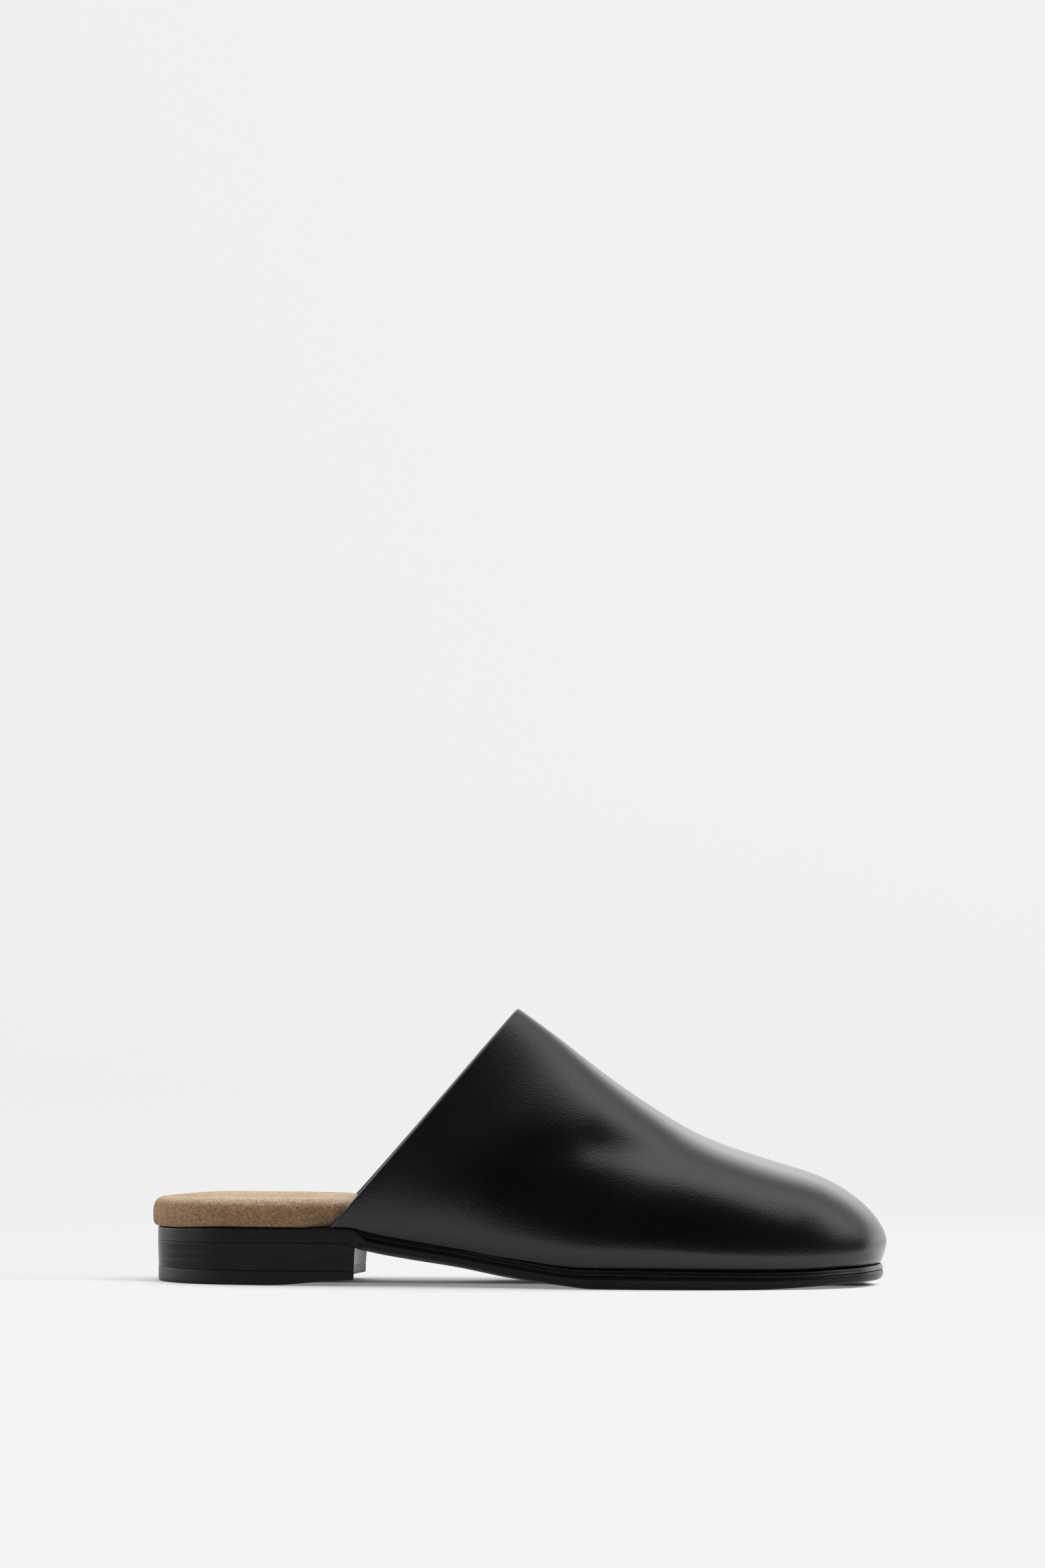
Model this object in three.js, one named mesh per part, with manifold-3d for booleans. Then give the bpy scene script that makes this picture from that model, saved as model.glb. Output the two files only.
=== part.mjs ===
// A backless leather mule for the right foot, in millimetres with +Z up.
// +X runs from the heel to the toe, -Y is the lateral side, and the origin lies on the
// floor under the middle of the shoe's bounding box.

import * as THREE from 'three';
import * as BufferGeometryUtils from 'three/addons/utils/BufferGeometryUtils.js';
import Module from 'manifold-3d';

// Sole and last
const soleLength = 259.5;
const ballWidth = 83;
const heelWidth = 57.5;
const soleThickness = 7.2;
const toeSpring = 2;
const edgeRadius = 1;

// Welt, which lies in a rebate round the forepart of the outsole
const weltThickness = 1.8;
const weltWidth = 9;
const weltStep = 4;
const weltReveal = 0.3;

// Heel
const heelHeight = 15.1;
const heelLength = 70.9;
const heelTaper = 0.3;
const topPieceThickness = 5.3;
const treadRise = 2.1;
const breastHollow = 4;
const breastSkew = 4.8;

// Upper
const instepHeight = 97.7;
const toeHeight = 42;
const upperWall = 2.2;
const featherInset = 1.4;
const sideSwell = 5.4;
const toeOverhang = 0.8;

// Footbed
const footbedThickness = 10.6;
const foreThickness = 5;
const footbedOverhang = 1.7;
const footbedDish = 1.2;
const footbedSideOverhang = 0.6;
const overhangRun = 16;

// Clearance between pieces that are glued or nailed together
const seam = 0.3;

// Steps of the lofts
const stationsPerRow = 3;
const upperSteps = 30;
const girthSteps = 28;

// Outline of the sole seen from above, from the heel's back to the tip of the toe.
// along is a share of soleLength, and lateral and medial are shares of the row's width.
const outlineRows = [
  { along: 0.019, lateral: 0.245, medial: 0.292, width: heelWidth },
  { along: 0.063, lateral: 0.420, medial: 0.448, width: heelWidth },
  { along: 0.133, lateral: 0.500, medial: 0.494, width: heelWidth },
  { along: 0.221, lateral: 0.528, medial: 0.468, width: heelWidth },
  { along: 0.306, lateral: 0.374, medial: 0.278, width: ballWidth },
  { along: 0.391, lateral: 0.398, medial: 0.253, width: ballWidth },
  { along: 0.479, lateral: 0.446, medial: 0.295, width: ballWidth },
  { along: 0.576, lateral: 0.496, medial: 0.384, width: ballWidth },
  { along: 0.672, lateral: 0.518, medial: 0.464, width: ballWidth },
  { along: 0.761, lateral: 0.500, medial: 0.484, width: ballWidth },
  { along: 0.838, lateral: 0.446, medial: 0.464, width: ballWidth },
  { along: 0.899, lateral: 0.380, medial: 0.426, width: ballWidth },
  { along: 0.946, lateral: 0.292, medial: 0.368, width: ballWidth },
  { along: 0.980, lateral: 0.170, medial: 0.276, width: ballWidth },
];
const backOffset = 0.026;
const tipOffset = 0.072;

// Heights along the sole. lift is a share of heelHeight, spring of toeSpring and thick of
// soleThickness.
const heightRows = [
  { along: 0.000, lift: 0.96, spring: 0.00, thick: 0.70 },
  { along: 0.100, lift: 1.00, spring: 0.00, thick: 0.73 },
  { along: 0.255, lift: 1.00, spring: 0.00, thick: 0.73 },
  { along: 0.288, lift: 0.79, spring: 0.00, thick: 1.00 },
  { along: 0.343, lift: 0.62, spring: 0.00, thick: 0.98 },
  { along: 0.414, lift: 0.44, spring: 0.00, thick: 0.93 },
  { along: 0.480, lift: 0.24, spring: 0.00, thick: 0.93 },
  { along: 0.551, lift: 0.08, spring: 0.00, thick: 0.86 },
  { along: 0.600, lift: 0.00, spring: 0.00, thick: 0.93 },
  { along: 0.815, lift: 0.00, spring: 0.00, thick: 0.86 },
  { along: 0.898, lift: 0.00, spring: 0.45, thick: 0.77 },
  { along: 0.945, lift: 0.00, spring: 0.85, thick: 0.74 },
  { along: 1.000, lift: 0.00, spring: 1.00, thick: 0.79 },
];

// Trim of the edge. draw is how far the sole's edge stands inside the outline and bevel
// how far its underside is pared back from there, both shares of soleThickness, and sit is
// how far the upper stands inside the outline, a share of featherInset.
const trimRows = [
  { along: 0.240, draw: 0.24, bevel: 1.20, sit: 0.25 },
  { along: 0.345, draw: 0.22, bevel: 1.10, sit: 0.70 },
  { along: 0.430, draw: 0.12, bevel: 0.70, sit: 1.00 },
  { along: 0.530, draw: 0.03, bevel: 0.30, sit: 1.00 },
  { along: 0.620, draw: 0.00, bevel: 0.12, sit: 1.00 },
  { along: 1.000, draw: 0.00, bevel: 0.12, sit: 1.00 },
];

// Side of the outsole from the tread up: in as shares of the bevel and of edgeRadius, and
// height as a share of the way to the rebate.
const soleProfile = [
  { bevel: 1, round: 1, height: 0 },
  { bevel: 0.35, round: 0, height: 0.25 },
  { bevel: 0, round: 0, height: 0.55 },
  { bevel: 0, round: 0, height: 0.88 },
  { bevel: 0, round: 0.5, height: 1 },
];

// Outer edge of the welt: round is a share of edgeRadius and height of weltThickness
const weltProfile = [
  { round: 0.5, height: 0 },
  { round: 0, height: 0.3 },
  { round: 0, height: 0.7 },
  { round: 0.5, height: 1 },
];

// Lower edge of the top piece, in shares of edgeRadius
const liftProfile = [
  { round: 1, height: 0 },
  { round: 0.3, height: 0.3 },
  { round: 0, height: 1 },
];

// Side of the footbed, in shares of its thickness
const padProfile = [
  { inwards: 0.15, height: 0 },
  { inwards: 0.03, height: 0.08 },
  { inwards: 0, height: 0.25 },
  { inwards: 0, height: 0.6 },
  { inwards: 0.06, height: 0.8 },
  { inwards: 0.2, height: 0.94 },
  { inwards: 0.5, height: 1 },
];

// Height of the heel's tread, a share of treadRise
const treadRows = [
  { along: 0.000, rise: 0.00 },
  { along: 0.150, rise: 0.00 },
  { along: 0.271, rise: 1.00 },
];

// Footbed: bare is 1 where it shows behind the upper, thick runs from the bare heel's
// thickness at 1 to the forepart's at 0, and dish is a share of footbedDish.
const footbedRows = [
  { along: 0.000, bare: 1, thick: 1.00, dish: 0.0 },
  { along: 0.060, bare: 1, thick: 1.00, dish: 1.0 },
  { along: 0.197, bare: 1, thick: 1.00, dish: 1.0 },
  { along: 0.236, bare: 0, thick: 1.00, dish: 0.7 },
  { along: 0.330, bare: 0, thick: 0.85, dish: 0.2 },
  { along: 0.520, bare: 0, thick: 0.30, dish: 0.0 },
  { along: 0.640, bare: 0, thick: 0.00, dish: 0.0 },
  { along: 1.000, bare: 0, thick: 0.00, dish: 0.0 },
];

// Cross-sections of the upper, fanned from the slanting collar to the tip of the toe.
// foot and ridge are shares of soleLength for the ends of the section on the sole and for
// its top, toe is a share of toeHeight and rise of the instep's extra height, swing is the
// top's shift to the medial side as a share of ballWidth, lateral and medial are shares
// of sideSwell, crest sets how high the swell stands out most, and square is the exponent
// of the section's curve.
const sectionRows = [
  { foot: 0.241, ridge: 0.494, toe: 1, rise: 1, swing: 0, lateral: 0.63, medial: 0.95,
    crest: 0.75, square: 1.72 },
  { foot: 0.325, ridge: 0.552, toe: 1, rise: 0.802, swing: 0.01, lateral: 1, medial: 1.15,
    crest: 0.75, square: 1.9 },
  { foot: 0.422, ridge: 0.616, toe: 1, rise: 0.575, swing: 0.022, lateral: 1.11, medial: 1.22,
    crest: 0.75, square: 2.15 },
  { foot: 0.53, ridge: 0.681, toe: 1, rise: 0.366, swing: 0.036, lateral: 0.96, medial: 1.12,
    crest: 0.66, square: 2.45 },
  { foot: 0.634, ridge: 0.742, toe: 1, rise: 0.203, swing: 0.048, lateral: 0.78, medial: 1,
    crest: 0.56, square: 2.65 },
  { foot: 0.73, ridge: 0.803, toe: 1, rise: 0.093, swing: 0.058, lateral: 0.65, medial: 0.95,
    crest: 0.48, square: 2.85 },
  { foot: 0.814, ridge: 0.865, toe: 1, rise: 0.004, swing: 0.066, lateral: 0.63, medial: 0.85,
    crest: 0.47, square: 2.95 },
  { foot: 0.883, ridge: 0.913, toe: 0.905, rise: 0, swing: 0.07, lateral: 0.57, medial: 0.72,
    crest: 0.5, square: 3 },
  { foot: 0.934, ridge: 0.953, toe: 0.765, rise: 0, swing: 0.072, lateral: 0.5, medial: 0.6,
    crest: 0.53, square: 3 },
  { foot: 0.968, ridge: 0.981, toe: 0.61, rise: 0, swing: 0.072, lateral: 0.37, medial: 0.44,
    crest: 0.55, square: 2.85 },
  { foot: 0.988, ridge: 0.997, toe: 0.46, rise: 0, swing: 0.072, lateral: 0.22, medial: 0.28,
    crest: 0.55, square: 2.5 },
  { foot: 0.997, ridge: 1, toe: 0.33, rise: 0, swing: 0.072, lateral: 0.09, medial: 0.12,
    crest: 0.5, square: 2.25 },
];

// Value of a column between the rows of a table, by a curve that keeps level stretches
// level.
function read(rows, column, along) {
  const last = rows.length - 1;
  if (along <= rows[0].along) return rows[0][column];
  if (along >= rows[last].along) return rows[last][column];
  const slope = (k) => {
    if (k < 0 || k >= last) return 0;
    return (rows[k + 1][column] - rows[k][column]) / (rows[k + 1].along - rows[k].along);
  };
  const tangent = (k) => {
    const before = slope(k - 1);
    const after = slope(k);
    return before * after <= 0 ? 0 : (2 * before * after) / (before + after);
  };
  const k = rows.findIndex((row) => row.along > along) - 1;
  const span = rows[k + 1].along - rows[k].along;
  const f = (along - rows[k].along) / span;
  const rise = rows[k + 1][column] - rows[k][column];
  const ease = f * f * (3 - 2 * f);
  const lead = f * (1 - f) * (1 - f) * tangent(k);
  const trail = f * f * (f - 1) * tangent(k + 1);
  return rows[k][column] + rise * ease + span * (lead + trail);
}

// The outline as one closed curve: heel's back, lateral side, tip, medial side.
const heelBack = new THREE.Vector3(0, backOffset * heelWidth, 0);
const toeTip = new THREE.Vector3(soleLength, tipOffset * ballWidth, 0);
const lateralSide = outlineRows.map(
  (row) => new THREE.Vector3(row.along * soleLength, -row.lateral * row.width, 0));
const medialSide = outlineRows.map(
  (row) => new THREE.Vector3(row.along * soleLength, row.medial * row.width, 0));
const outline = new THREE.CatmullRomCurve3(
  [heelBack, ...lateralSide, toeTip, ...medialSide.reverse()], true, 'catmullrom', 0.5);
const outlineEnd = outlineRows.length + 1;

// Point of the outline at a fractional row of one side (-1 lateral, 1 medial), moved
// inwards by a distance.
function edgePoint(side, row, inwards) {
  const turn = row / (2 * outlineEnd);
  const t = side < 0 ? turn : 1 - turn;
  const tangent = outline.getTangent(t);
  const point = outline.getPoint(t);
  return point.add(new THREE.Vector3(-tangent.y, tangent.x, 0).multiplyScalar(inwards));
}

// Fractional row at a share of the length. Both sides have the same x in a row.
function rowAt(along) {
  let low = 0;
  let high = outlineEnd;
  for (let step = 0; step < 30; step++) {
    const middle = (low + high) / 2;
    if (edgePoint(-1, middle, 0).x < along * soleLength) low = middle;
    else high = middle;
  }
  return (low + high) / 2;
}

const breastAlong = heelLength / soleLength;
const foreAlong = (heelLength + weltStep) / soleLength;
const weltAlong = (heelLength + 1.5 * weltStep) / soleLength;
const share = (x) => THREE.MathUtils.clamp(x / soleLength, 0, 1);
const forepart = (s) => THREE.MathUtils.clamp((s - breastAlong) / (foreAlong - breastAlong), 0, 1);

// Heights of the layers at a share of the length
const underside = (s) => heelHeight * read(heightRows, 'lift', s)
  + toeSpring * read(heightRows, 'spring', s);
const feather = (s) => underside(s) + soleThickness * read(heightRows, 'thick', s);
const rebate = (s) => feather(s) - forepart(s) * (weltThickness + seam);
const tread = (s) => treadRise * read(treadRows, 'rise', s);
const draw = (s) => forepart(s) * soleThickness * read(trimRows, 'draw', s);
const bevel = (s) => forepart(s) * soleThickness * read(trimRows, 'bevel', s);
const sit = (s) => featherInset * read(trimRows, 'sit', s);

// Rows at which the layers have their points: a few in each row of the outline, the two
// ends of the step at the heel's breast, and the end of the welt.
const stations = [];
for (let k = 0; k <= outlineEnd * stationsPerRow; k++) stations.push(k / stationsPerRow);
const stepStart = rowAt(breastAlong);
const stepEnd = rowAt(foreAlong);
const weltEnd = rowAt(weltAlong);
stations.push(stepStart, stepEnd, weltEnd);
stations.sort((a, b) => a - b);

// A ring of points round the outline, up the lateral side and back down the medial one.
function ring(rows, insetOf, heightOf) {
  const place = (side) => (row) => {
    const s = share(edgePoint(side, row, 0).x);
    const point = edgePoint(side, row, insetOf(s));
    point.z = heightOf(share(point.x));
    return point;
  };
  const front = rows[rows.length - 1] === outlineEnd ? rows.slice(1, -1) : rows.slice(1);
  return [...rows.map(place(-1)), ...front.reverse().map(place(1))];
}

// A closed mesh from points and triangles.
function meshOf(points, triangles) {
  const geometry = new THREE.BufferGeometry();
  geometry.setFromPoints(points);
  geometry.setIndex(triangles.flat());
  return geometry;
}

function quad(triangles, a, b, c, d) {
  if (a !== b && b !== c && a !== c) triangles.push([a, b, c]);
  if (a !== c && c !== d && a !== d) triangles.push([a, c, d]);
}

// A layer from rings stacked upwards. The top and bottom are closed by strips from the
// lateral side straight across to the medial side.
function layer(rings) {
  const count = rings[0].length;
  const triangles = [];
  for (let level = 0; level < rings.length - 1; level++) {
    for (let i = 0; i < count; i++) {
      const next = (i + 1) % count;
      const low = level * count;
      const high = low + count;
      quad(triangles, low + i, low + next, high + next, high + i);
    }
  }
  const top = (rings.length - 1) * count;
  for (let i = 0; i < Math.floor(count / 2); i++) {
    const across = (count - i) % count;
    const nextAcross = count - i - 1;
    quad(triangles, across, nextAcross, i + 1, i);
    quad(triangles, top + i, top + i + 1, top + nextAcross, top + across);
  }
  return meshOf(rings.flat(), triangles);
}

// A body from equal loops of points, open-ended loops closed by fans.
function sweep(loops) {
  const count = loops[0].length;
  const triangles = [];
  for (let k = 0; k < loops.length - 1; k++) {
    for (let i = 0; i < count; i++) {
      const next = (i + 1) % count;
      const here = k * count;
      const there = here + count;
      quad(triangles, here + i, there + i, there + next, here + next);
    }
  }
  const end = (loops.length - 1) * count;
  for (let i = 1; i < count - 1; i++) {
    triangles.push([0, i, i + 1]);
    triangles.push([end, end + i + 1, end + i]);
  }
  return meshOf(loops.flat(), triangles);
}

const wasm = await Module();
wasm.setup();

function toSolid(geometry) {
  const bare = geometry.clone();
  bare.deleteAttribute('normal');
  bare.deleteAttribute('uv');
  const merged = BufferGeometryUtils.mergeVertices(bare);
  return new wasm.Manifold(new wasm.Mesh({
    numProp: 3,
    vertProperties: new Float32Array(merged.attributes.position.array),
    triVerts: new Uint32Array(merged.index.array),
  }));
}

function toGeometry(solid) {
  const mesh = solid.getMesh();
  const geometry = new THREE.BufferGeometry();
  geometry.setAttribute('position', new THREE.BufferAttribute(mesh.vertProperties, 3));
  geometry.setIndex(new THREE.BufferAttribute(mesh.triVerts, 1));
  return geometry;
}

// Everything in front of the heel's breast, which is hollow and stands further forward on
// the medial side.
function breastCutter() {
  const corner = heelWidth / 2;
  const medialLength = heelLength + breastSkew;
  const middle = heelLength + breastSkew / 2 - 2 * breastHollow;
  const shape = new THREE.Shape();
  shape.moveTo(heelLength, -heelWidth);
  shape.lineTo(heelLength, -corner);
  shape.quadraticCurveTo(middle, 0, medialLength, corner);
  shape.lineTo(medialLength, heelWidth);
  shape.lineTo(soleLength, heelWidth);
  shape.lineTo(soleLength, -heelWidth);
  shape.closePath();
  const depth = 2 * heelHeight;
  const cutter = new THREE.ExtrudeGeometry(shape, { depth, bevelEnabled: false, curveSegments: 16 });
  return cutter.translate(0, 0, -heelHeight / 2);
}

function upperMaterial() {
  return new THREE.MeshStandardMaterial({ color: 0x161616, roughness: 0.38, metalness: 0 });
}

function suedeMaterial() {
  return new THREE.MeshStandardMaterial({ color: 0xa07c58, roughness: 0.95, metalness: 0 });
}

function soleMaterial() {
  return new THREE.MeshStandardMaterial({ color: 0x191817, roughness: 0.5, metalness: 0 });
}

function rubberMaterial() {
  return new THREE.MeshStandardMaterial({ color: 0x202020, roughness: 0.75, metalness: 0 });
}

// Leather sole with a full seat over the heel, a pared waist and a rebate for the welt
function outsole() {
  const rings = soleProfile.map((spot) => ring(
    stations,
    (s) => draw(s) + bevel(s) * spot.bevel + edgeRadius * forepart(s) * spot.round,
    (s) => underside(s) + spot.height * (rebate(s) - underside(s))));
  rings.push(ring(stations, () => weltWidth, rebate));
  rings.push(ring(stations, () => weltWidth + seam, feather));
  return layer(rings);
}

// Strip that the upper is fixed to, from one corner of the breast round the toe to the other
function welt() {
  const rows = stations.filter((row) => row >= weltEnd);
  const back = rows.slice(0, -1).reverse();
  const route = [
    ...rows.map((row) => ({ side: -1, row })),
    ...back.map((row) => ({ side: 1, row })),
  ];
  const loops = route.map(({ side, row }) => {
    const s = share(edgePoint(side, row, 0).x);
    const corner = (inwards, height) => {
      const point = edgePoint(side, row, inwards);
      point.z = feather(share(point.x)) - weltThickness * (1 - height);
      return point;
    };
    const outer = draw(s) + weltReveal;
    return [
      ...weltProfile.map((spot) => corner(outer + edgeRadius * spot.round, spot.height)),
      corner(weltWidth - seam, 1),
      corner(weltWidth - seam, 0),
    ];
  });
  return sweep(loops);
}

// Stacked block under the seat
function heel() {
  const rows = stations.filter((row) => row <= stepEnd);
  const rings = [
    ring(rows, () => heelTaper, () => topPieceThickness + seam),
    ring(rows, () => 0, (s) => underside(s) - seam),
  ];
  return toGeometry(toSolid(layer(rings)).subtract(toSolid(breastCutter())));
}

// Lift that the heel stands on, with its lower edge rounded
function topPiece() {
  const rows = stations.filter((row) => row <= stepEnd);
  const rings = liftProfile.map((spot) => ring(
    rows,
    () => heelTaper + edgeRadius * spot.round,
    (s) => tread(s) + edgeRadius * spot.height));
  rings.push(ring(rows, () => heelTaper, () => topPieceThickness));
  return toGeometry(toSolid(layer(rings)).subtract(toSolid(breastCutter())));
}

// Padded insole: proud of the heel's edge where it is bare, inside the upper's wall in front
function footbed() {
  const overhang = (s) => footbedSideOverhang
    + (footbedOverhang - footbedSideOverhang)
    * THREE.MathUtils.clamp(1 - (s * soleLength) / overhangRun, 0, 1);
  const edge = (s) => {
    const bare = read(footbedRows, 'bare', s);
    return (sit(s) + upperWall + seam) * (1 - bare) - overhang(s) * bare;
  };
  const thick = (s) => foreThickness
    + (footbedThickness - foreThickness) * read(footbedRows, 'thick', s);
  const dish = (s) => footbedDish * read(footbedRows, 'dish', s);
  const rings = padProfile.map(({ inwards, height }) => ring(
    stations,
    (s) => edge(s) + inwards * thick(s),
    (s) => feather(s) + seam + height * thick(s)));
  rings.push(ring(stations, () => heelWidth / 4, (s) => feather(s) + seam + thick(s) - dish(s)));
  return layer(rings);
}

// Sections of the upper in millimetres. The last one closes on the tip of the toe.
const sections = sectionRows.map((row) => ({
  foot: rowAt(row.foot),
  ridgeX: row.ridge * (soleLength + toeOverhang),
  ridgeY: row.swing * ballWidth,
  ridgeZ: toeHeight * row.toe + (instepHeight - toeHeight) * row.rise,
  lateral: sideSwell * row.lateral,
  medial: sideSwell * row.medial,
  crest: row.crest,
  square: row.square,
}));
const featherTip = edgePoint(-1, outlineEnd, featherInset);
sections.push({
  foot: outlineEnd,
  ridgeX: featherTip.x,
  ridgeY: featherTip.y,
  ridgeZ: feather(1) + seam,
  lateral: 0,
  medial: 0,
  crest: sectionRows[sectionRows.length - 1].crest,
  square: sectionRows[sectionRows.length - 1].square,
});

// Value between the sections by a smooth curve through them
function between(column, place) {
  const last = sections.length - 1;
  const at = (k) => {
    if (k < 0) return 2 * sections[0][column] - sections[1][column];
    if (k > last) return 2 * sections[last][column] - sections[last - 1][column];
    return sections[k][column];
  };
  const k = Math.min(Math.floor(place), last - 1);
  const f = place - k;
  const [a, b, c, d] = [at(k - 1), at(k), at(k + 1), at(k + 2)];
  const square = 2 * a - 5 * b + 4 * c - d;
  const cube = 3 * b - a - 3 * c + d;
  return (2 * b + (c - a) * f + square * f * f + cube * f * f * f) / 2;
}

// Top of a section, moved into the shoe by a depth square to the ridge
function ridgePoint(place, depth) {
  const point = (at) => new THREE.Vector3(
    between('ridgeX', at), between('ridgeY', at), between('ridgeZ', at));
  const small = 0.01;
  const last = sections.length - 1;
  const ahead = point(Math.min(place + small, last));
  const behind = point(Math.max(place - small, 0));
  const run = ahead.sub(behind).setY(0).normalize();
  return point(place).add(new THREE.Vector3(run.z, 0, -run.x).multiplyScalar(depth));
}

// Point of the upper's skin. place runs over the sections and angle over the girth, from 0
// at the lateral edge to pi at the medial one, and depth is how far the skin lies inside.
function skinPoint(place, angle, depth) {
  const last = sections.length - 1;
  const foot = between('foot', place);
  const ends = [-1, 1].map((side) => {
    const inwards = sit(share(edgePoint(side, foot, 0).x)) + depth;
    const point = edgePoint(side, foot, inwards);
    point.z = feather(share(point.x)) + seam;
    return point;
  });
  if (place === last) return ends[0];
  const side = angle < Math.PI / 2 ? -1 : 1;
  const end = side < 0 ? ends[0] : ends[1];
  const middle = ends[0].clone().add(ends[1]).multiplyScalar(0.5);
  const power = 2 / between('square', place);
  const reach = Math.abs(Math.cos(angle)) ** power;
  const climb = Math.sin(angle) ** power;
  const outwards = edgePoint(side, foot, -1).sub(edgePoint(side, foot, 0));
  const swell = between(side < 0 ? 'lateral' : 'medial', place);
  const crest = between('crest', place);
  const top = ridgePoint(place, depth);
  return middle.clone()
    .addScaledVector(end.sub(middle), reach)
    .addScaledVector(top.sub(middle), climb)
    .addScaledVector(outwards, swell * Math.sin(Math.PI * climb ** crest));
}

// Lasted leather in one piece: an outer and an inner skin, joined round the collar and
// along the lower edge that lies on the welt
function upper() {
  const last = sections.length - 1;
  const points = [];
  const skin = (depth) => {
    const start = points.length;
    for (let i = 0; i < upperSteps; i++) {
      for (let j = 0; j <= girthSteps; j++) {
        points.push(skinPoint((i / upperSteps) * last, (j / girthSteps) * Math.PI, depth));
      }
    }
    const pole = points.length;
    points.push(skinPoint(last, 0, depth));
    return (i, j) => (i === upperSteps ? pole : start + i * (girthSteps + 1) + j);
  };
  const outer = skin(0);
  const inner = skin(upperWall);
  const triangles = [];
  for (let i = 0; i < upperSteps; i++) {
    for (let j = 0; j < girthSteps; j++) {
      quad(triangles, outer(i, j), outer(i + 1, j), outer(i + 1, j + 1), outer(i, j + 1));
      quad(triangles, inner(i, j + 1), inner(i + 1, j + 1), inner(i + 1, j), inner(i, j));
    }
    quad(triangles, outer(i + 1, 0), outer(i, 0), inner(i, 0), inner(i + 1, 0));
    quad(triangles, outer(i, girthSteps), outer(i + 1, girthSteps),
      inner(i + 1, girthSteps), inner(i, girthSteps));
  }
  for (let j = 0; j < girthSteps; j++) {
    quad(triangles, outer(0, j), outer(0, j + 1), inner(0, j + 1), inner(0, j));
  }
  return meshOf(points, triangles);
}

function part(name, geometry, material) {
  const mesh = new THREE.Mesh(geometry, material);
  mesh.name = name;
  return mesh;
}

const shoe = new THREE.Group();
shoe.add(part('upper', upper(), upperMaterial()));
shoe.add(part('footbed', footbed(), suedeMaterial()));
shoe.add(part('welt', welt(), soleMaterial()));
shoe.add(part('outsole', outsole(), soleMaterial()));
shoe.add(part('heel', heel(), soleMaterial()));
shoe.add(part('top_piece', topPiece(), rubberMaterial()));

// The shoe stands on the floor with the origin under the middle of its box
const box = new THREE.Box3().setFromObject(shoe);
const centre = box.getCenter(new THREE.Vector3());
shoe.position.set(-centre.x, -centre.y, -box.min.z);

export default shoe;
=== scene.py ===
"""A backless leather mule for the right foot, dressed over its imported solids.

Everything is in metres in the row's frame: +X to the toe, -Y to the lateral side that the
camera sees, +Z up, with the origin on the floor under the shoe.
"""
import math

import bmesh
import bpy
import numpy as np
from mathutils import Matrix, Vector, noise


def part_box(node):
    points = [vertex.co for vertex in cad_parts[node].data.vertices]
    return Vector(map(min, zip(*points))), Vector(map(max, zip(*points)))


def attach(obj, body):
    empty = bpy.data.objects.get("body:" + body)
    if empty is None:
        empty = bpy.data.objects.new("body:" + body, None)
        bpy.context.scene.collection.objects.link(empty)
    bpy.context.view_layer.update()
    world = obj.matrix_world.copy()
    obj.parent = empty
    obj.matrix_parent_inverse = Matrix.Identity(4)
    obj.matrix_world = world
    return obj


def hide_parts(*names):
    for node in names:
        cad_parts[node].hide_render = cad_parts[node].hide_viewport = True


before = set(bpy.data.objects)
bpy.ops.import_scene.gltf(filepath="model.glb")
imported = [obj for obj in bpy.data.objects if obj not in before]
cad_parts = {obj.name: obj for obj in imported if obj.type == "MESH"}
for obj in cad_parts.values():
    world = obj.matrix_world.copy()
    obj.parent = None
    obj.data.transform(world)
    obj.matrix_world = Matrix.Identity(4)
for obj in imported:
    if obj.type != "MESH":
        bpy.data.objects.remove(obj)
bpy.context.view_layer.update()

MM = 0.001


# Footbed. A foam pad on a board, wrapped in tan suede, that fills the shoe from the heel
# to the toe. It is bare behind the upper, where its soft edge stands proud of the heel.

# The plan of the sole, which every layer of the shoe follows. along is a share of the
# sole's length from the heel's back, and lateral and medial are in millimetres.
sole_low, sole_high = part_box("outsole")
sole_length = (sole_high[0] - sole_low[0]) / MM
outline_rows = [
    dict(along=0.019, lateral=14.1, medial=16.8),
    dict(along=0.063, lateral=24.2, medial=25.8),
    dict(along=0.133, lateral=28.8, medial=28.4),
    dict(along=0.221, lateral=30.4, medial=26.9),
    dict(along=0.306, lateral=31.0, medial=23.1),
    dict(along=0.391, lateral=33.0, medial=21.0),
    dict(along=0.479, lateral=37.0, medial=24.5),
    dict(along=0.576, lateral=41.2, medial=31.9),
    dict(along=0.672, lateral=43.0, medial=38.5),
    dict(along=0.761, lateral=41.5, medial=40.2),
    dict(along=0.838, lateral=37.0, medial=38.5),
    dict(along=0.899, lateral=31.5, medial=35.4),
    dict(along=0.946, lateral=24.2, medial=30.5),
    dict(along=0.980, lateral=14.1, medial=22.9),
]
heel_middle = 1.5
toe_middle = 6.0
outline_end = len(outline_rows) + 1
# The frame's own place of the plan: its back end, and its middle line from the widest row
plan_start = sole_low[0] / MM
plan_middle = sole_low[1] / MM + max(row["lateral"] for row in outline_rows)


def curve_through(values):
    """A smooth curve through values that stand one step apart."""
    count = len(values)
    steps = np.eye(count)
    turns = np.zeros(count)
    for k in range(1, count - 1):
        steps[k, k - 1:k + 2] = 1, 4, 1
        turns[k] = 6 * (values[k - 1] - 2 * values[k] + values[k + 1])
    bends = np.linalg.solve(steps, turns)

    def at(place):
        k = int(min(max(math.floor(place), 0), count - 2))
        ahead = place - k
        back = 1 - ahead
        straight = back * values[k] + ahead * values[k + 1]
        return straight + ((back**3 - back) * bends[k] + (ahead**3 - ahead) * bends[k + 1]) / 6
    return at


def closed_curve(values):
    """The same round a closed loop."""
    lap = 5
    at = curve_through(values[-lap:] + values + values[:lap + 1])
    return lambda place: at(place + lap)


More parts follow.
